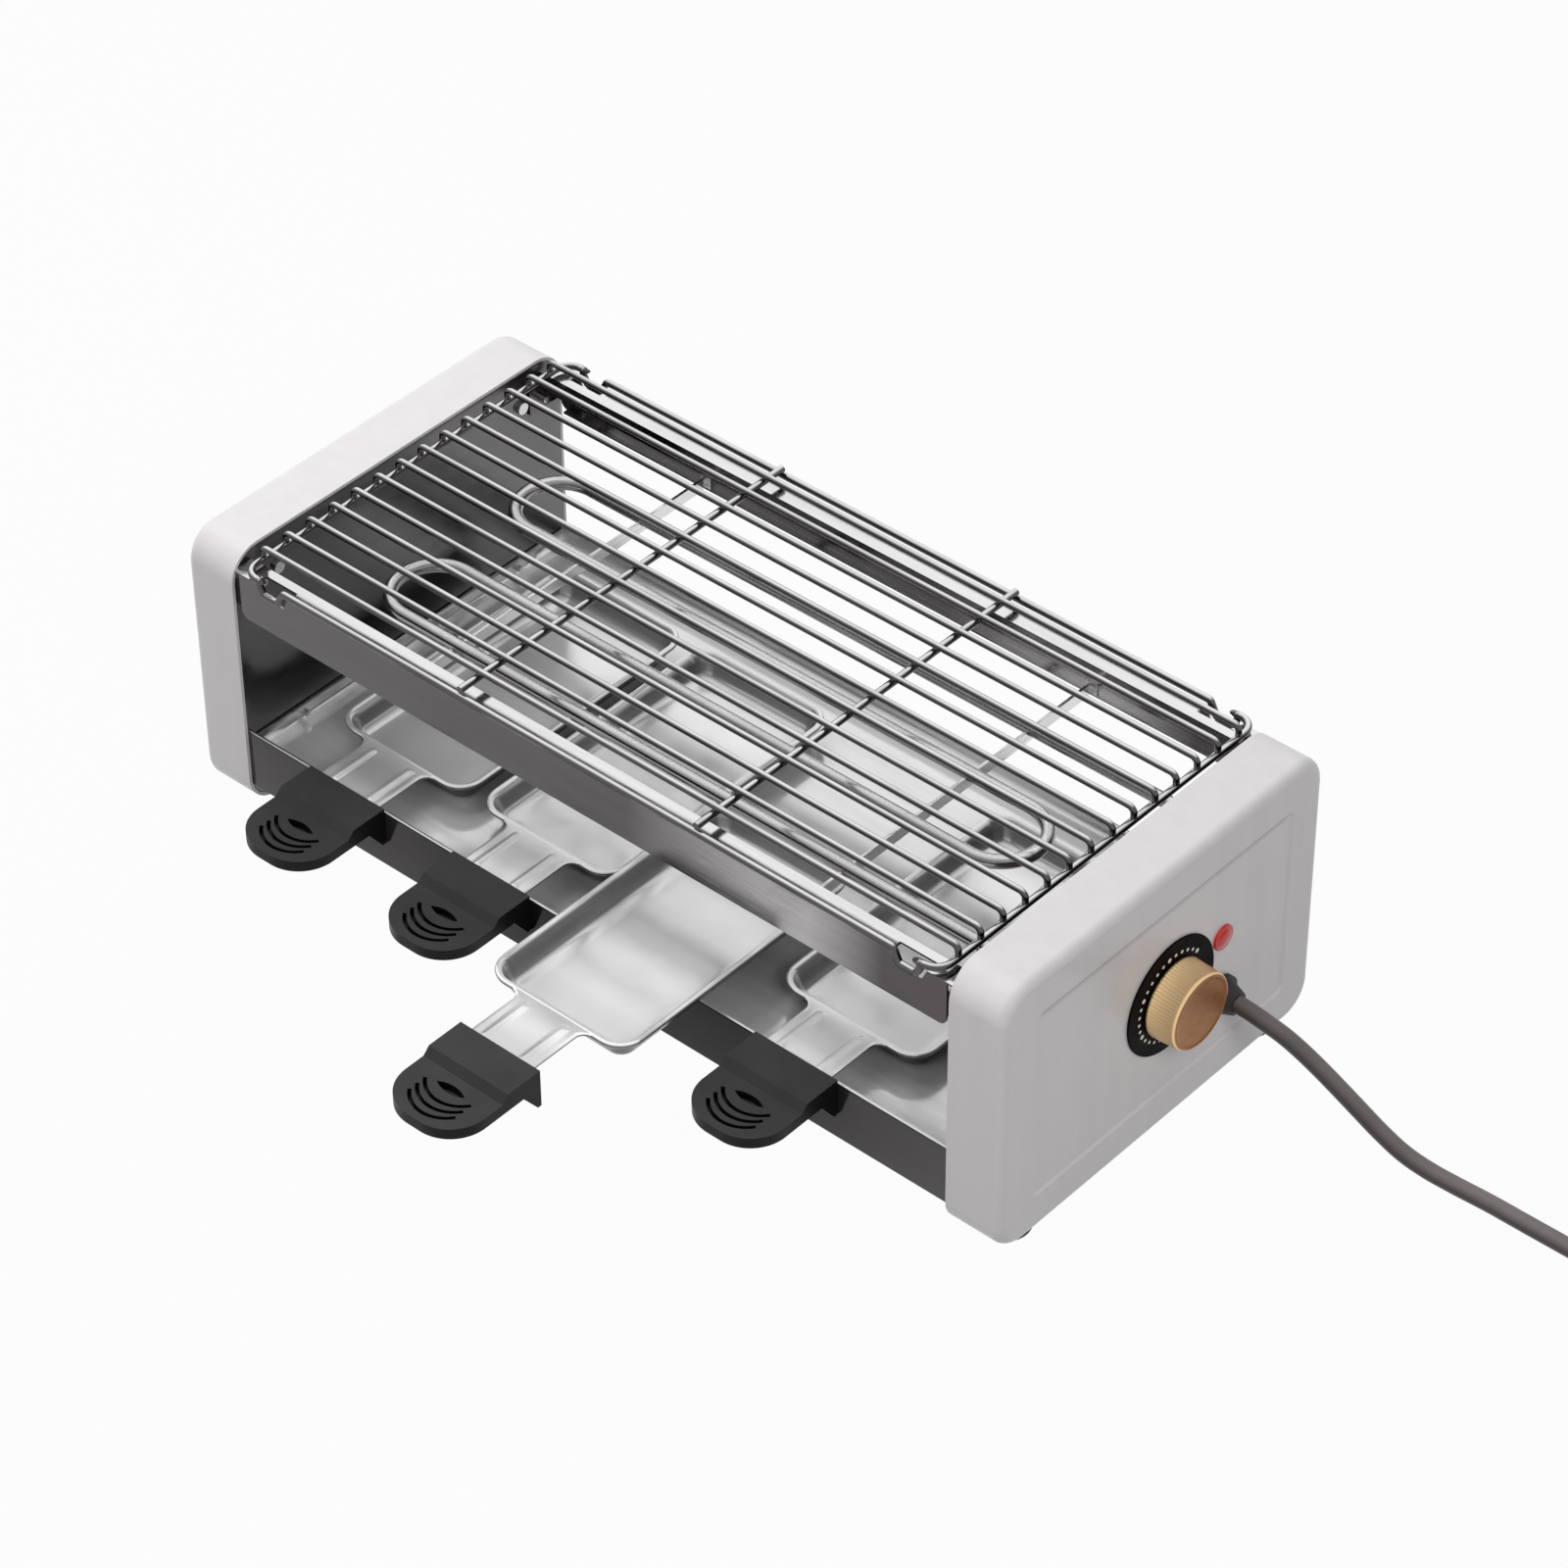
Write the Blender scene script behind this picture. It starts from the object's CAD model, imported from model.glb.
import math

import bpy
import numpy as np
from mathutils import Matrix, Vector


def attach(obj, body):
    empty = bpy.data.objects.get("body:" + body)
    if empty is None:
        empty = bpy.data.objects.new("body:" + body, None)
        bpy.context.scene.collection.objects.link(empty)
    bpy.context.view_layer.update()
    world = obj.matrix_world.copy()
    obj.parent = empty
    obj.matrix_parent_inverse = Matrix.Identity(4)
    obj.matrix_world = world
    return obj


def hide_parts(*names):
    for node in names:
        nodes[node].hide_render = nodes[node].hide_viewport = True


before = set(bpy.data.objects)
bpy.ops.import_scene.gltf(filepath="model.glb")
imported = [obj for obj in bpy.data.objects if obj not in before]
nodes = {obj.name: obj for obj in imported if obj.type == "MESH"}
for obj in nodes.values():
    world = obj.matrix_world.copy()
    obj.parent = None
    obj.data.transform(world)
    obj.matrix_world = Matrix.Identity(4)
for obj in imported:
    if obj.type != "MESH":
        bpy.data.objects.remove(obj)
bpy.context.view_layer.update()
MM = 0.001
# The row frame's origin, in millimetres from the body's middle
ORIGIN_X, ORIGIN_Y = 8.1, -68.15


def at(x, y, z):
    """A point measured in millimetres from the body's middle, in the row frame."""
    return Vector(((x - ORIGIN_X) * MM, (y - ORIGIN_Y) * MM, z * MM))


def how_far(value, start, end):
    """How far the value is on its way from start to end, from 0 to 1."""
    return max(0, min(1, (value - start) / (end - start)))


def add_object(name, data):
    """An object in the scene for a mesh, curve, camera or lamp."""
    obj = bpy.data.objects.new(name, data)
    bpy.context.scene.collection.objects.link(obj)
    return obj


# Camera
AZIMUTH, ELEVATION, ROLL = math.radians(41.713), math.radians(40.211), math.radians(-0.452)
CAMERA_X, CAMERA_Y, CAMERA_Z = 1227.4, -1349.9, 1608.0
SENSOR_WIDTH, FOCAL_LENGTH = 36, 125.37
# In metres
NEAREST, FURTHEST = 0.05, 50


def aim_camera():
    """Puts the camera in its place, turned by its azimuth, elevation and roll."""
    back = Vector((math.sin(AZIMUTH) * math.cos(ELEVATION), -math.cos(AZIMUTH) * math.cos(ELEVATION),
                   math.sin(ELEVATION)))
    level = Vector((math.cos(AZIMUTH), math.sin(AZIMUTH), 0))
    upright = back.cross(level)
    right = level * math.cos(ROLL) + upright * math.sin(ROLL)
    up = upright * math.cos(ROLL) - level * math.sin(ROLL)
    lens = bpy.data.cameras.new("camera")
    lens.sensor_width = SENSOR_WIDTH
    lens.lens = FOCAL_LENGTH
    lens.clip_start = NEAREST
    lens.clip_end = FURTHEST
    camera = add_object("camera", lens)
    turn = Matrix((right, up, back)).transposed().to_4x4()
    camera.matrix_world = Matrix.Translation(at(CAMERA_X, CAMERA_Y, CAMERA_Z)) @ turn
    bpy.context.scene.camera = camera


aim_camera()
bpy.context.scene.view_settings.view_transform = "Standard"

# Mesh and curve helpers
SMOOTH_ANGLE = 50
FILLET_STEPS, FILLET_SHARE = 5, 0.45


def mesh_object(name, points, faces, smooth=True):
    """A mesh with flat faces, or one that is smooth but for its sharp edges."""
    mesh = bpy.data.meshes.new(name)
    mesh.from_pydata([tuple(p) for p in points], [], faces)
    mesh.update()
    if smooth:
        mesh.shade_smooth()
        mesh.set_sharp_from_angle(angle=math.radians(SMOOTH_ANGLE))
    return add_object(name, mesh)


def ring_faces(rings, sides, first=0):
    """Faces between rings of points that run anticlockwise seen from the last ring, with both ends capped."""
    starts = [first + i * sides for i in range(rings)]
    faces = [(a + k, a + (k + 1) % sides, b + (k + 1) % sides, b + k)
             for a, b in zip(starts, starts[1:]) for k in range(sides)]
    first_cap = tuple(starts[0] + k for k in reversed(range(sides)))
    last_cap = tuple(starts[-1] + k for k in range(sides))
    return [*faces, first_cap, last_cap]


def tube_curve(name, points, diameter, closed, resolution):
    """A round wire along points in millimetres from the body's middle."""
    curve = bpy.data.curves.new(name, "CURVE")
    curve.dimensions = "3D"
    curve.bevel_depth = 1
    curve.bevel_resolution = resolution
    curve.use_fill_caps = not closed
    spline = curve.splines.new("POLY")
    spline.points.add(len(points) - 1)
    for spot, place in zip(spline.points, points):
        spot.co = (*at(*place), 1)
        spot.radius = diameter / 2 * MM
    spline.use_cyclic_u = closed
    spline.use_smooth = True
    return add_object(name, curve)


def smooth_line(points, step):
    """A Catmull-Rom curve through the points, in pieces about this long."""
    p = [np.array(q, float) for q in points]
    p = [2 * p[0] - p[1], *p, 2 * p[-1] - p[-2]]
    out = []
    for a, b, c, d in zip(p, p[1:], p[2:], p[3:]):
        n = max(1, round(float(np.linalg.norm(c - b)) / step))
        for i in range(n):
            t = i / n
            out.append(0.5 * (2 * b + (c - a) * t + (2 * a - 5 * b + 4 * c - d) * t * t
                              + (3 * b - a - 3 * c + d) * t ** 3))
    return [*out, p[-2]]


def filleted(points, radius):
    """The closed path through the points, with each corner rounded by up to this radius."""
    p = [np.array(q, float) for q in points]
    out = []
    for before, corner, after in zip([p[-1], *p], p, [*p[1:], p[0]]):
        u, v = before - corner, after - corner
        u_length, v_length = np.linalg.norm(u), np.linalg.norm(v)
        u, v = u / u_length, v / v_length
        half = math.acos(float(u @ v)) / 2
        reach = min(radius / math.tan(half), FILLET_SHARE * u_length, FILLET_SHARE * v_length)
        for k in range(FILLET_STEPS + 1):
            t = k / FILLET_STEPS
            out.append((1 - t) ** 2 * (corner + u * reach) + 2 * t * (1 - t) * corner
                       + t * t * (corner + v * reach))
    return out


def quarter(x, y, radius, start, steps):
    """Points of a quarter circle in plan round x, y, anticlockwise from the start angle."""
    angles = [math.radians(start + 90 * k / steps) for k in range(steps + 1)]
    return [(x + radius * math.cos(a), y + radius * math.sin(a)) for a in angles]


# Mains cord: from the gland down to the floor, a coil in two layers, and a tail to the plug
CORD_D, CORD_STEP, CORD_RESOLUTION = 8, 3, 6
LEAD = [(243, 40, 54), (250, 40, 53.6), (258, 40.2, 52.2), (266, 41.4, 49.4), (274, 43, 44.9),
        (283, 44.7, 38.9), (293, 46.5, 31.6), (303, 48.3, 24), (313, 50, 16.6), (324, 51.8, 10),
        (336, 53.6, 6.2), (350, 55, 4.8), (366, 55.9, 4.6), (384, 56, 4.6), (408, 56, 4.8),
        (421, 56, 5.1), (434, 56, 5.2)]
TAIL = [(434, 162, 13.8), (426, 162, 13.8), (417, 162, 13.3), (410, 162, 13), (402, 162, 13)]
COIL_X, COIL_Y, COIL_Z, COIL_R = 442, 109, 5.2, 53
TURNS, TURN_STEPS = 4.5, 36
# How far a turn moves in, how far up the second layer lies, and the degrees in which the cord climbs there
COIL_PITCH, COIL_RISE, COIL_CLIMB = 8.6, 8.6, 180


def coil_point(angle):
    """The coil's path: turning in on the floor for half the way, then a layer higher and out again."""
    end = 360 * TURNS
    radius = COIL_R - COIL_PITCH * min(angle, end - angle) / 360
    climb = how_far(angle, (end - COIL_CLIMB) / 2, (end + COIL_CLIMB) / 2)
    turn = math.radians(angle)
    return (COIL_X + radius * math.sin(turn), COIL_Y - radius * math.cos(turn), COIL_Z + COIL_RISE * climb)


coil = [coil_point(360 * i / TURN_STEPS) for i in range(int(TURN_STEPS * TURNS) + 1)]
cord_line = smooth_line([*LEAD, *coil, *TAIL], CORD_STEP)
cord = tube_curve("mains_cord", cord_line, CORD_D, False, CORD_RESOLUTION)
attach(cord, "housing")
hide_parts("cord_lead", "cord_coil", "cord_tail")

# Materials
EVEN = (1, 1, 1)
BLACK = (0, 0, 0)
# The range in which a noise texture's values mostly lie, from its dark patches to its light ones
PATCHES = (0.35, 0.65)
WIDE_PATCHES = (0.3, 0.7)


def is_socket(value):
    return isinstance(value, bpy.types.NodeSocket)


def with_alpha(colour):
    """A colour as an input takes it, or the socket that gives the colour."""
    return colour if is_socket(colour) else (*colour, 1)


def add_node(tree, kind, inputs=None, **values):
    """A new node, with its inputs linked to sockets or set to values."""
    node = tree.nodes.new(kind)
    for key, value in values.items():
        setattr(node, key, value)
    for key, value in (inputs or {}).items():
        if is_socket(value):
            tree.links.new(value, node.inputs[key])
        else:
            node.inputs[key].default_value = value
    return node


class Look:
    """A material around one Principled shader. Its colours and roughness can be worked out by nodes."""

    def __init__(self, name, colour, rough, metal=0.0, **sockets):
        self.material = bpy.data.materials.new(name)
        self.material.use_nodes = True
        self.tree = self.material.node_tree
        self.shader = self.tree.nodes["Principled BSDF"]
        self.colour = colour
        self.rough = rough
        values = {"Base Color": (*colour, 1), "Roughness": rough, "Metallic": metal, **sockets}
        for socket, value in values.items():
            self.shader.inputs[socket.replace("_", " ")].default_value = value

    def node(self, kind, inputs=None, **values):
        return add_node(self.tree, kind, inputs, **values)

    def coords(self, stretch=EVEN):
        """Places in the piece's own frame, scaled along each axis."""
        source = self.node("ShaderNodeTexCoord").outputs["Object"]
        return self.node("ShaderNodeMapping", {"Vector": source, "Scale": stretch}).outputs["Vector"]

    def place(self, axis):
        """The place along one axis, in metres in the piece's own frame."""
        return self.node("ShaderNodeSeparateXYZ", {"Vector": self.coords()}).outputs[axis]

    def facing(self, axis):
        """How much the surface faces along one axis, from -1 to 1."""
        normal = self.node("ShaderNodeTexCoord").outputs["Normal"]
        return self.node("ShaderNodeSeparateXYZ", {"Vector": normal}).outputs[axis]

    def facing_up(self, low, high, both=False):
        """1 where the surface faces up (or down, if both), and 0 where it stands."""
        direction = self.facing("Z")
        if both:
            direction = self.maths("ABSOLUTE", direction)
        return self.spread(direction, 0, 1, low, high)

    def noise(self, scale, stretch=EVEN, detail=4.0):
        """Soft patches, smaller with a larger scale, and shorter along an axis with a larger stretch."""
        return self.node("ShaderNodeTexNoise", {"Vector": self.coords(stretch), "Scale": scale,
                                                "Detail": detail, "Roughness": 0.55}).outputs["Fac"]

    def spread(self, value, low, high, start=0.0, end=1.0):
        """Low where the value is start or less, high where it is end or more, and even steps between."""
        return self.node("ShaderNodeMapRange", {"Value": value, "From Min": start, "From Max": end,
                                                "To Min": low, "To Max": high}).outputs["Result"]

    def mix(self, share, a, b):
        """The colour a with a share of the colour b."""
        inputs = {0: share, 6: with_alpha(a), 7: with_alpha(b)}
        return self.node("ShaderNodeMix", inputs, data_type="RGBA").outputs[2]

    def maths(self, operation, a, b=0.0):
        return self.node("ShaderNodeMath", {0: a, 1: b}, operation=operation).outputs[0]

    def use(self, socket, value):
        self.tree.links.new(value, self.shader.inputs[socket])

    def mottle(self, amount, scale, stretch=EVEN, colour=None):
        """Slow changes in brightness, as wear, dust and moulding leave them."""
        share = self.spread(self.noise(scale, stretch), 0, 1, *PATCHES)
        if colour is None:
            dark = tuple(c * (1 - amount) for c in self.colour)
            light = tuple(min(1, c * (1 + amount)) for c in self.colour)
            self.use("Base Color", self.mix(share, dark, light))
        else:
            self.use("Base Color", self.mix(self.spread(share, 0, amount), colour, BLACK))

    def uneven(self, amount, scale, stretch=EVEN):
        """Roughness that changes from place to place."""
        patches = self.noise(scale, stretch, detail=1.5)
        rough = self.spread(patches, self.rough - amount, self.rough + amount, *WIDE_PATCHES)
        self.use("Roughness", rough)

    def grain(self, depth, scale, stretch=EVEN):
        """A fine bump, its depth in millimetres."""
        height = self.noise(scale, stretch, detail=3.0)
        bump = self.node("ShaderNodeBump", {"Height": height, "Distance": depth * MM, "Strength": 0.6})
        self.use("Normal", bump.outputs["Normal"])


# The shaded line under the top edge of each cap's sunk panel: how far out it lies, where it starts, is full
# and ends in height, and where it fades out towards the panel's front and back
PANEL_TOP, PANEL_X, PANEL_HALF = 128, 233, 85
LINE_IN, LINE_OUT = PANEL_X - 0.5, PANEL_X + 0.7
LINE_LOW, LINE_FULL, LINE_HIGH = PANEL_TOP - 5, PANEL_TOP - 0.8, PANEL_TOP + 0.4
LINE_FADE, LINE_END = PANEL_HALF - 6, PANEL_HALF - 2


def cap_finish():
    """Pale paint with a shaded line along the sunk panel."""
    look = Look("cap_paint", (0.72, 0.69, 0.695), 0.34, Coat_Weight=0.25, Coat_Roughness=0.12)
    outward = look.maths("ABSOLUTE", look.maths("ADD", look.place("X"), ORIGIN_X * MM))
    aside = look.maths("ABSOLUTE", look.maths("ADD", look.place("Y"), ORIGIN_Y * MM))
    height = look.place("Z")
    line = look.maths("GREATER_THAN", outward, LINE_IN * MM)
    for share in (
        look.maths("LESS_THAN", outward, LINE_OUT * MM), look.maths("LESS_THAN", height, LINE_HIGH * MM),
        look.spread(aside, 1, 0, LINE_FADE * MM, LINE_END * MM),
        look.spread(height, 0, 1, LINE_LOW * MM, LINE_FULL * MM),
    ):
        line = look.maths("MULTIPLY", line, share)
    look.mottle(0.035, 22, (5, 5, 0.4), look.mix(line, look.colour, (0.38, 0.36, 0.365)))
    look.uneven(0.04, 45)
    look.grain(0.02, 700)
    return look


# Places in metres: where a standing face has its second colour in full, and where the far lip begins
SECOND_COLOUR = 0.2
FAR_LIP = (0.1, 0.12)


def steel(name, bright, dark, second_dark, turn=-0.21, glow=None, inner=None, rough=0.14, metal=1.0,
          axis="X", along=(1, 12, 12)):
    """Polished sheet: bright where it faces up, and darker on its standing faces.

    Along the axis the standing faces change from dark to second_dark, from the place turn on. A glow is a
    colour and the places where it begins, is full, starts to fade and ends. The inner colour is for the far
    lip's face that looks into the bay and for the flanges at its ends.
    """
    look = Look(name, bright, rough, metal, Specular_IOR_Level=0.2)
    place = look.place(axis)
    side = look.mix(look.spread(place, 0, 1, turn, SECOND_COLOUR), dark, second_dark)
    if glow:
        colour, begin, full, fade, end = glow
        rise, fall = look.spread(place, 0, 1, begin, full), look.spread(place, 1, 0, fade, end)
        side = look.mix(look.maths("MINIMUM", rise, fall), side, colour)
    if inner:
        side = look.mix(look.spread(look.place("Y"), 0, 1, *FAR_LIP), side, inner)
        sideways = look.maths("ABSOLUTE", look.facing("X"))
        side = look.mix(look.spread(sideways, 0, 1, 0.5, 0.9), side, inner)
    shade = look.mix(look.facing_up(0.35, 0.8, both=True), side, bright)
    streak = look.spread(look.noise(18, along, detail=2.0), 0, 0.1, 0.35, 0.7)
    look.use("Base Color", look.mix(streak, shade, (0.02, 0.02, 0.02)))
    look.uneven(0.04, 60, along)
    return look


def drawn_wire(name, top, side, rough=0.12):
    """Bright wire, with a light line along its top and dark flanks."""
    look = Look(name, top, rough, 1.0)
    shade = look.mix(look.facing_up(0.72, 0.97), side, top)
    stain = look.spread(look.noise(30, detail=1.0), 0, 0.15, 0.4, 0.7)
    look.use("Base Color", look.mix(stain, shade, (0.03, 0.028, 0.027)))
    look.uneven(0.04, 40)
    return look


def pan_finish():
    """Bright pressed sheet with soft bands across the pan."""
    look = Look("pan_steel", (1.0, 0.998, 1.0), 0.18, 0.56)
    band = look.spread(look.noise(11, (0.02, 2.6, 0.2), detail=0.0), 0, 0.4, 0.5, 0.68)
    shade = look.mix(look.facing_up(0.35, 0.85, both=True), (0.17, 0.166, 0.168), look.colour)
    look.use("Base Color", look.mix(band, shade, (0.22, 0.22, 0.222)))
    look.uneven(0.05, 50)
    return look


def underside_finish():
    """The pans' underside, dark where it faces down or to the side."""
    look = Look("pan_underside", (0.2, 0.196, 0.197), 0.2, 0.8)
    shade = look.mix(look.facing_up(0.25, 0.8), (0.16, 0.156, 0.157), (0.9, 0.895, 0.9))
    look.mottle(0.3, 25, colour=shade)
    look.uneven(0.05, 50)
    return look


def moulded(name, top, side, rough, specular):
    """Moulded black plastic, its top worn a little lighter than its sides."""
    look = Look(name, top, rough, Specular_IOR_Level=specular)
    look.mottle(0.18, 30, colour=look.mix(look.facing_up(0.2, 0.9), side, top))
    look.uneven(0.06, 80)
    look.grain(0.05, 900)
    return look


def gold_finish():
    """Brushed gold, darker and redder on the knob's face than on its side."""
    look = Look("knob_gold", (0.68, 0.46, 0.22), 0.34, 0.75)
    patches = look.spread(look.noise(30), 0, 1, *PATCHES)
    face = look.mix(patches, (0.27, 0.1, 0.02), (0.33, 0.14, 0.035))
    look.use("Base Color", look.mix(look.spread(look.facing("X"), 0, 1, 0.5, 0.9), (0.9, 0.64, 0.34), face))
    look.uneven(0.06, 200, (8, 1, 1))
    look.grain(0.01, 1500, (8, 1, 1))
    return look


def rubber_finish():
    look = Look("rubber_black", (0.018, 0.018, 0.018), 0.62)
    look.mottle(0.3, 60)
    look.grain(0.06, 700)
    return look


def dial_finish():
    look = Look("dial_black", (0.004, 0.003, 0.003), 0.6, Specular_IOR_Level=0.04)
    look.mottle(0.3, 50)
    look.uneven(0.06, 120)
    return look


def plain(name, colour, rough, metal, wear, scale, **sockets):
    """One colour with slow changes in brightness."""
    look = Look(name, colour, rough, metal, **sockets)
    look.mottle(wear, scale)
    return look


cap_paint = cap_finish()
rail_steel = steel("rail_steel", (0.86, 0.85, 0.855), (0.125, 0.115, 0.118), (0.09, 0.08, 0.085),
                   glow=((0.42, 0.4, 0.405), 0.02, 0.1, 0.12, 0.16))
tray_steel = steel("tray_steel", (0.97, 0.966, 0.97), (0.016, 0.014, 0.015), (0.08, 0.072, 0.075),
                   turn=0.08, glow=((0.085, 0.075, 0.078), -0.27, -0.26, -0.22, -0.03),
                   inner=(0.6, 0.595, 0.6), metal=0.5)
plate_steel = steel("plate_steel", (0.7, 0.7, 0.7), (0.11, 0.105, 0.106), (0.15, 0.145, 0.145), rough=0.2,
                    axis="Y", along=(3, 1, 3))
pan_steel = pan_finish()
pan_underside = underside_finish()
wire_steel = drawn_wire("wire_steel", (0.8, 0.79, 0.795), (0.1, 0.092, 0.094))
tube_steel = drawn_wire("tube_steel", (0.85, 0.84, 0.84), (0.3, 0.29, 0.29), 0.2)
strip_steel = drawn_wire("strip_steel", (0.9, 0.89, 0.89), (0.72, 0.71, 0.71), 0.2)
screw_steel = plain("screw_steel", (0.62, 0.62, 0.63), 0.28, 1.0, 0.08, 300)
handle_black = moulded("handle_black", (0.05, 0.048, 0.049), (0.004, 0.004, 0.004), 0.4, 0.14)
rubber_black = rubber_finish()
dial_black = dial_finish()
dial_marks = plain("dial_marks", (0.78, 0.77, 0.74), 0.5, 0, 0.05, 200)
knob_gold = gold_finish()
brass = plain("brass", (0.75, 0.6, 0.3), 0.3, 1.0, 0.1, 120)
copper = plain("copper", (0.68, 0.36, 0.24), 0.3, 1.0, 0.15, 80)
ceramic = plain("ceramic", (0.78, 0.75, 0.67), 0.45, 0, 0.05, 100)
lamp_red = plain("lamp_red", (0.6, 0.028, 0.02), 0.2, 0, 0.12, 160,
                 Specular_IOR_Level=0.3, Coat_Weight=0.15)
lamp_white = plain("lamp_white", (0.75, 0.74, 0.71), 0.45, 0, 0.04, 100)
wire_cover = plain("wire_cover", (0.45, 0.16, 0.06), 0.5, 0, 0.12, 90)
cord_cover = moulded("cord_cover", (0.2, 0.176, 0.172), (0.06, 0.05, 0.049), 0.38, 0.35)
pin_nickel = plain("pin_nickel", (0.75, 0.73, 0.68), 0.22, 1.0, 0.06, 200)
cord.data.materials.append(cord_cover.material)

# Finishes of the CAD pieces, with their edges eased
WELD_GAP, NORMAL_WEIGHT = 0.00002, 70


def dress(name, look, bevel=0.3, angle=32, segments=2):
    """Gives a CAD node its material, with a bevel in millimetres on edges sharper than the angle."""
    obj = nodes[name]
    obj.data.materials.clear()
    obj.data.materials.append(look.material)
    for polygon in obj.data.polygons:
        polygon.use_smooth = True
    weld = obj.modifiers.new("weld", "WELD")
    weld.merge_threshold = WELD_GAP
    if bevel:
        edge = obj.modifiers.new("edge", "BEVEL")
        edge.width = bevel * MM
        edge.segments = segments
        edge.limit_method = "ANGLE"
        edge.angle_limit = math.radians(angle)
        edge.use_clamp_overlap = True
        edge.harden_normals = False
    normals = obj.modifiers.new("normals", "WEIGHTED_NORMAL")
    normals.keep_sharp = False
    normals.weight = NORMAL_WEIGHT


for name in ("left_end_cap", "right_end_cap"):
    dress(name, cap_paint, angle=20)
for name in ("front_rail", "back_rail"):
    dress(name, rail_steel, 0.35, 60)
for look, bevel, names in (
    (tray_steel, 0, ["base_tray"]),
    (plate_steel, 0, ["left_inner_plate", "right_inner_plate"]),
    (tube_steel, 0, ["heating_tube"]),
    (strip_steel, 0.2, ["left_tube_support", "right_tube_support"]),
    (ceramic, 0.3, ["tube_insulators", "terminal_block"]),
    (ceramic, 0.4, ["thermostat"]),
    (brass, 0.2, ["tube_pins", "thermostat_nut"]),
    (brass, 0.1, ["terminal_screws"]),
    (copper, 0.3, ["sensor_bulb"]),
    (copper, 0, ["capillary"]),
    (wire_steel, 0, ["grill_bars"]),
    (wire_steel, 0.3, ["grill_cross_rods"]),
    (screw_steel, 0.2, ["foot_screws", "cap_screws", "rail_screws", "tray_screws"]),
    (screw_steel, 0.15, ["sensor_clip"]),
    (screw_steel, 0, ["knob_shaft"]),
    (rubber_black, 0.6, ["foot_front_left", "foot_front_right", "foot_back_left", "foot_back_right"]),
    (rubber_black, 0.4, ["cord_gland"]),
    (rubber_black, 0.2, ["cord_tie"]),
    (dial_black, 0.3, ["dial_ring"]),
    (lamp_white, 0.3, ["pilot_lamp"]),
    (wire_cover, 0, ["inner_wires"]),
    (cord_cover, 0.8, ["plug"]),
    (pin_nickel, 0.4, ["plug_pins"]),
):
    for name in names:
        dress(name, look, bevel)

# Grill ring: round wire with a rounded dip near each corner
RING_X, RING_Y, RING_Z = 198.25, 103.3, 143
RING_D, RING_R, RING_STEPS, RING_RESOLUTION = 3.5, 8, 10, 5
DIP_X, DIP_W, DIP_SLOPE, DIP_DEEP, DIP_BEND = 182, 9, 3.5, 7, 2.2


def dip(x, y, way):
    """The four corners of a dip in the wire, which runs along X in this way (1 or -1)."""
    floor_half = way * DIP_W / 2
    top_half = way * (DIP_W / 2 + DIP_SLOPE)
    return [(x - top_half, y, RING_Z), (x - floor_half, y, RING_Z - DIP_DEEP),
            (x + floor_half, y, RING_Z - DIP_DEEP), (x + top_half, y, RING_Z)]


def ring_corner(side, end, start):
    """The wire's bend at one corner of the ring."""
    plan = quarter(side * (RING_X - RING_R), end * (RING_Y - RING_R), RING_R, start, RING_STEPS)
    return [(x, y, RING_Z) for x, y in plan]


front_dips = filleted(dip(-DIP_X, -RING_Y, 1) + dip(DIP_X, -RING_Y, 1), DIP_BEND)
back_dips = filleted(dip(DIP_X, RING_Y, -1) + dip(-DIP_X, RING_Y, -1), DIP_BEND)
ring_line = [*front_dips, *ring_corner(1, -1, -90), *ring_corner(1, 1, 0),
             *back_dips, *ring_corner(-1, 1, 90), *ring_corner(-1, -1, 180)]
ring = tube_curve("grill_ring_wire", ring_line, RING_D, True, RING_RESOLUTION)
ring.data.materials.append(wire_steel.material)
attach(ring, "grill")
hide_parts("grill_ring")

# Pans: pressed bowls with a rolled rim. PANS_X is the middle of their row, and pan 3 is pulled out
PAN_W, PAN_L, PAN_R, LEAST_R = 81, 150, 13, 1.5
RIM_Z, PAN_FRONT = 49.3, -72.3
PAN_COUNT, PAN_PITCH, PANS_X = 4, 88, -10
PULLED_PAN, PULLED_OUT, PULLED_UP = 3, 86, 12
CORNERS = ((1, -1, -90), (1, 1, 0), (-1, 1, 90), (-1, -1, 180))
CORNER_STEPS = 12
RING_POINTS = len(CORNERS) * (CORNER_STEPS + 1)
# The sheet's section: each point's distance in from the rim's outline, and its height from the rim's top
UNDERSIDE = [(38.5, -12.8), (26, -12.95), (14, -13.0), (10.6, -12.95), (8.2, -12.5), (6.3, -10.9),
             (5.3, -8.6), (4.2, -5.6), (3.0, -3.4), (2.3, -2.2), (1.6, -2.2), (0.8, -2.3), (0.25, -1.9)]
ROLLED_RIM = [(0.05, -1.2), (0.35, -0.5), (0.9, -0.1), (1.6, 0), (2.4, -0.25), (3.0, -0.75)]
INSIDE = [(3.6, -1.7), (5.0, -5.0), (6.2, -8.2), (7.2, -10.2), (8.7, -11.5), (10.6, -12.0), (14, -12.1),
          (26, -12.05), (38.5, -11.9)]
SECTION = [*UNDERSIDE, *ROLLED_RIM, *INSIDE]
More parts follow.
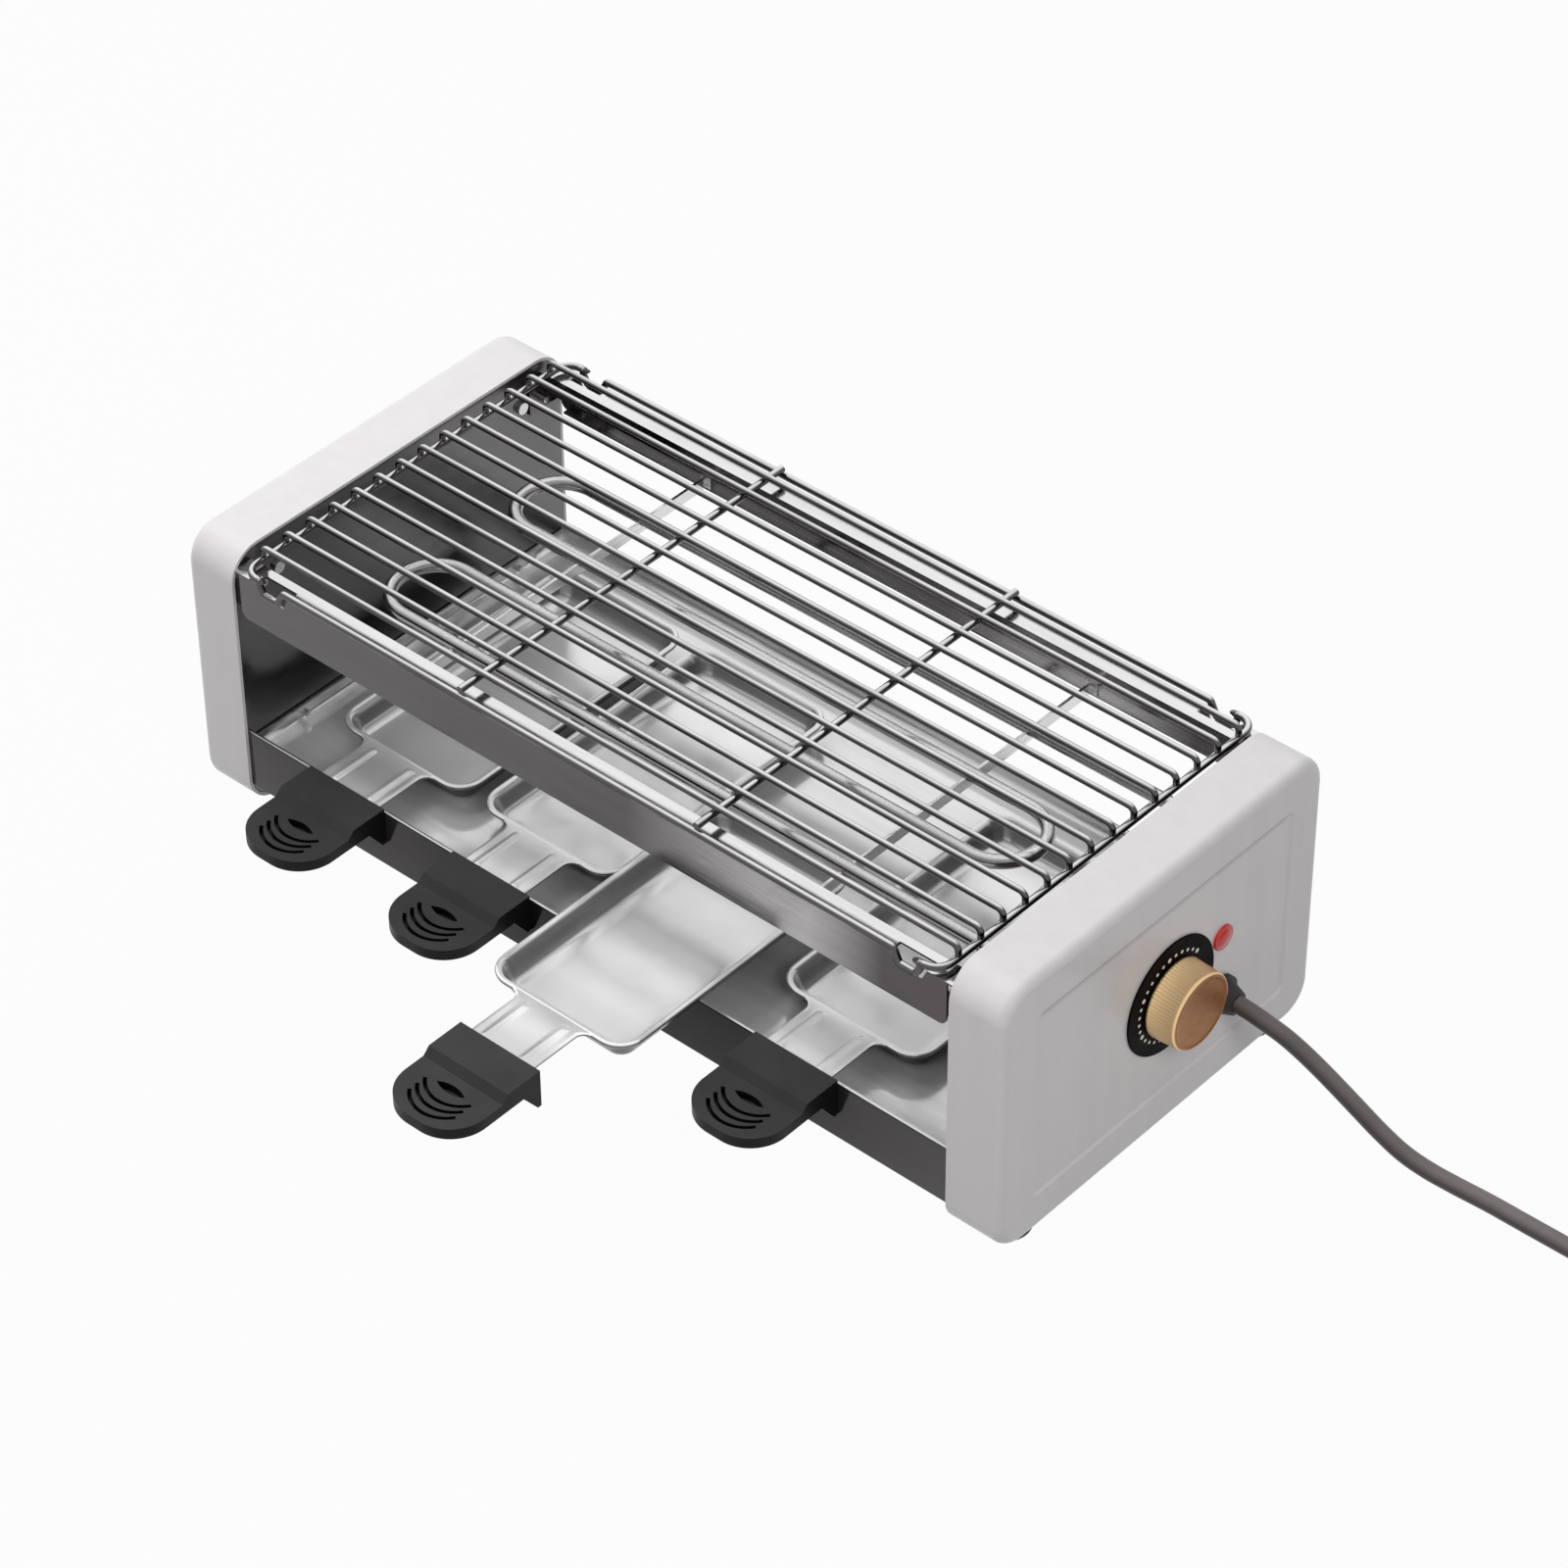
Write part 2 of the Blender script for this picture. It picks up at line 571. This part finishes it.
# The neck between the bowl and the handle, with two pressed beads
NECK_W, NECK_T, NECK_FILLET, NECK_STEPS = 36, 0.85, 5, 40
HANDLE_Y, IN_HANDLE, IN_BOWL = -103.3, 18, 1.2
NECK_DROP, EDGE_DROP = 0.15, 0.3
HANDLE_ROWS, BEAD_ROWS, BLEND_ROWS = 4, 22, 9
AFTER_HANDLE, BEFORE_BLEND = 0.6, 1
BEAD_X, BEAD_R, BEAD_RISE, BEAD_POWER = 11, 2.2, 0.75, 1.3
# How far from the handle the beads begin, are full, start to fade and end
BEAD_BEGIN, BEAD_FULL, BEAD_FADE, BEAD_END = 0.2, 1.7, 26.5, 29


def bowl_ring(inset, height):
    """The pan's outline, drawn in by the inset."""
    wide, long, radius = PAN_W / 2 - inset, PAN_L / 2 - inset, max(PAN_R - inset, LEAST_R)
    middle = PAN_FRONT + PAN_L / 2
    plan = [point for side, end, start in CORNERS
            for point in quarter(side * (wide - radius), end * (long - radius), radius, start, CORNER_STEPS)]
    return [(x, middle + y, RIM_Z + height) for x, y in plan]


def bead_height(x, along):
    """How high the beads stand at x, this far along the neck from the handle."""
    full = how_far(along, BEAD_BEGIN, BEAD_FULL) * how_far(along, BEAD_END, BEAD_FADE)
    off = min(1, abs(abs(x) - BEAD_X) / BEAD_R)
    return BEAD_RISE * full * math.cos(off * math.pi / 2) ** BEAD_POWER


def neck_ring(y):
    """The section of the neck at y, wider where it blends into the bowl."""
    near = how_far(y, PAN_FRONT - NECK_FILLET, PAN_FRONT)
    half = NECK_W / 2 + NECK_FILLET * (1 - math.sqrt(1 - near ** 2))
    top = []
    for t in np.linspace(-1, 1, NECK_STEPS + 1):
        drop = NECK_DROP + (EDGE_DROP if abs(t) == 1 else 0)
        top.append((t * half, y, RIM_Z - drop + bead_height(t * NECK_W / 2, y - HANDLE_Y)))
    return top + [(x, y, z - NECK_T) for x, y, z in reversed(top)]


def neck_places():
    """Places along the neck: few in the handle, and more along the beads and in the blend."""
    end = PAN_FRONT + IN_BOWL
    in_handle = np.linspace(HANDLE_Y - IN_HANDLE, HANDLE_Y, HANDLE_ROWS)
    beads = np.linspace(HANDLE_Y + AFTER_HANDLE, end - NECK_FILLET - BEFORE_BLEND, BEAD_ROWS)
    blend = np.linspace(end - NECK_FILLET, end, BLEND_ROWS)
    return [*in_handle, *beads, *blend]


bowl_rings = [bowl_ring(inset, height) for inset, height in SECTION]
neck_rings = [neck_ring(y) for y in neck_places()]
pan_points = [point for ring_points in bowl_rings + neck_rings for point in ring_points]
bowl_faces = ring_faces(len(bowl_rings), RING_POINTS)
neck_faces = ring_faces(len(neck_rings), len(neck_rings[0]), len(bowl_rings) * RING_POINTS)
# The underside's faces are the first ones and the first cap
under_faces = [*range((len(UNDERSIDE) - 1) * RING_POINTS), len(bowl_faces) - 2]


def pan_sheet(number):
    """One pan's sheet in its place in the row, with the underside's material on its lower faces."""
    out, rise = (PULLED_OUT, PULLED_UP) if number == PULLED_PAN else (0, 0)
    pan_x = PANS_X + (number - (PAN_COUNT + 1) / 2) * PAN_PITCH
    points = [at(x + pan_x, y - out, z + rise) for x, y, z in pan_points]
    sheet = mesh_object(f"pan_sheet_{number}", points, bowl_faces + neck_faces)
    sheet.data.materials.append(pan_steel.material)
    sheet.data.materials.append(pan_underside.material)
    for k in under_faces:
        sheet.data.polygons[k].material_index = 1
    return sheet


for i in range(1, PAN_COUNT + 1):
    pan = pan_sheet(i)
    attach(pan, f"pan_unit_{i}")
    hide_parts(f"pan_{i}")
    dress(f"pan_handle_{i}", handle_black, 0.55, 40, 3)
    dress(f"pan_screw_{i}", screw_steel, 0.2)

# Turned pieces: a knob with a finely ribbed side, and a domed lamp lens beside it
DIAL_X, DIAL_Y, DIAL_Z = 234.2, 5, 77.5
RIB_COUNT, RIB_DEPTH, RIB_SIDES = 72, 0.14, 4
LENS_X, LENS_Y, LENS_Z, LENS_SIDES = 233, 40, 86, 40
# Place along X and radius of each ring of the knob, and which of the rings are ribbed
KNOB = [(234.85, 18.3), (235.0, 18.7), (235.3, 18.9), (236.0, 18.95), (236.3, 18.95), (247.6, 18.3),
        (247.9, 18.25), (248.8, 18.2), (249.4, 18.05), (249.8, 17.75), (250.05, 17.3), (250.15, 16.8),
        (250.1, 16.3), (249.9, 15.9), (249.85, 15.2), (249.85, 8), (249.85, 0.8)]
KNOB_RIBBED = (4, 5)
# The same for the lens, from the cap's face
LENS = [(-1, 4.4), (0.02, 4.4), (0.02, 6.2), (0.8, 6.15), (1.2, 5.9), (1.35, 5.5), (1.25, 5.2), (1.5, 4.6),
        (1.85, 3.4), (2.05, 2.0), (2.15, 0.4)]


def circle(x, y, z, radius, sides, rib=0):
    """Points round an axis along X, with the radius less by twice the rib's depth between two ribs."""
    points = []
    for k in range(sides):
        a = 2 * math.pi * k / sides
        r = radius + rib * (math.cos(RIB_COUNT * a) - 1)
        points.append(at(x, y + r * math.cos(a), z + r * math.sin(a)))
    return points


def turned(name, profile, y, z, sides, ribbed=()):
    """A solid turned round an axis along X, from rings of place and radius, some of them ribbed."""
    points = []
    for i, (x, radius) in enumerate(profile):
        points += circle(x, y, z, radius, sides, RIB_DEPTH if i in ribbed else 0)
    return mesh_object(name, points, ring_faces(len(profile), sides))


knob = turned("knob_turned", KNOB, DIAL_Y, DIAL_Z, RIB_COUNT * RIB_SIDES, KNOB_RIBBED)
knob.data.materials.append(knob_gold.material)
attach(knob, "control")
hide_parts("knob")
lens_piece = turned("lamp_lens", [(LENS_X + x, r) for x, r in LENS], LENS_Y, LENS_Z, LENS_SIDES)
lens_piece.data.materials.append(lamp_red.material)
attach(lens_piece, "housing")
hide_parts("pilot_lens")

# Dial: a row of printed dots round the knob, each fifth one larger
DOT_RING, DOT_COUNT, DOT_SIDES = 21.6, 26, 12
DOT_START, DOT_SPAN = 132, 276
DOT_R, LARGE_DOT_R, LARGE_EVERY = 0.85, 1.15, 5
DOT_BACK, DOT_FRONT = DIAL_X - 0.2, DIAL_X + 0.06


def dial_dots():
    """The dots as flat discs, sunk a little into the dial."""
    points, faces = [], []
    for k in range(DOT_COUNT):
        a = math.radians(DOT_START + DOT_SPAN * k / (DOT_COUNT - 1))
        y, z = DIAL_Y + DOT_RING * math.sin(a), DIAL_Z + DOT_RING * math.cos(a)
        radius = DOT_R if k % LARGE_EVERY else LARGE_DOT_R
        faces += ring_faces(2, DOT_SIDES, len(points))
        points += circle(DOT_BACK, y, z, radius, DOT_SIDES) + circle(DOT_FRONT, y, z, radius, DOT_SIDES)
    return mesh_object("dial_dots", points, faces, smooth=False)


dots = dial_dots()
dots.data.materials.append(dial_marks.material)
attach(dots, "housing")

# Floor and world: soft light for the object, and white for what the camera sees directly or in a mirror
WHITE = (1, 1, 1, 1)
FLOOR_HALF, FLOOR_Z = 4, -0.0004
FLOOR_GREY, WHITE_SHARE = (0.27, 0.27, 0.27, 1), 0.965
SKY_COLOUR, SKY_STRENGTH = (0.97, 0.98, 1, 1), 0.29


def seen(tree):
    """1 for rays from the camera, a mirror or clear matter, and 0 for the rest."""
    path = add_node(tree, "ShaderNodeLightPath").outputs
    onward = add_node(tree, "ShaderNodeMath", {0: path["Is Glossy Ray"], 1: path["Is Transmission Ray"]},
                      operation="MAXIMUM").outputs[0]
    return add_node(tree, "ShaderNodeMath", {0: path["Is Camera Ray"], 1: onward},
                    operation="MAXIMUM").outputs[0]


def floor_material():
    """Grey that catches the shadows, under a large share of plain white."""
    material = bpy.data.materials.new("floor")
    material.use_nodes = True
    tree = material.node_tree
    tree.nodes.clear()
    share = add_node(tree, "ShaderNodeMath", {0: seen(tree), 1: WHITE_SHARE}, operation="MULTIPLY").outputs[0]
    grey = add_node(tree, "ShaderNodeBsdfDiffuse", {"Color": FLOOR_GREY}).outputs[0]
    white = add_node(tree, "ShaderNodeEmission", {"Color": WHITE, "Strength": 1.0}).outputs[0]
    blend = add_node(tree, "ShaderNodeMixShader", {0: share, 1: grey, 2: white}).outputs[0]
    add_node(tree, "ShaderNodeOutputMaterial", {"Surface": blend})
    return material


def light_world():
    """A pale sky that lights the object and is seen as plain white."""
    world = bpy.data.worlds.new("world")
    bpy.context.scene.world = world
    world.use_nodes = True
    tree = world.node_tree
    tree.nodes.clear()
    sky = add_node(tree, "ShaderNodeBackground", {"Color": SKY_COLOUR, "Strength": SKY_STRENGTH}).outputs[0]
    white = add_node(tree, "ShaderNodeBackground", {"Color": WHITE, "Strength": 1.0}).outputs[0]
    blend = add_node(tree, "ShaderNodeMixShader", {0: seen(tree), 1: sky, 2: white}).outputs[0]
    add_node(tree, "ShaderNodeOutputWorld", {"Surface": blend})


floor_corners = [(x * FLOOR_HALF, y * FLOOR_HALF, FLOOR_Z) for x, y in ((-1, -1), (1, -1), (1, 1), (-1, 1))]
floor = mesh_object("floor", floor_corners, [(0, 1, 2, 3)], smooth=False)
floor.data.materials.append(floor_material())
light_world()


# Lamps
def add_lamp(name, place, aim, size, watts):
    """A square lamp of this size, at a place and aimed at another, all in metres."""
    light = bpy.data.lights.new(name, "AREA")
    light.shape = "SQUARE"
    light.size = size
    light.energy = watts
    lamp = add_object(name, light)
    lamp.location = place
    lamp.rotation_mode = "QUATERNION"
    lamp.rotation_quaternion = (Vector(aim) - Vector(place)).to_track_quat("-Z", "Y")
    lamp.visible_glossy = False


add_lamp("key_lamp", place=(-0.85, 0.2, 1.25), aim=(-0.05, 0, 0.1), size=1.0, watts=14.6)
add_lamp("front_lamp", place=(-0.6, -1.7, 1.0), aim=(-0.1, 0, 0.1), size=1.2, watts=9.4)
add_lamp("side_lamp", place=(1.15, -0.5, 1.15), aim=(0.2, 0, 0.1), size=0.5, watts=8.5)
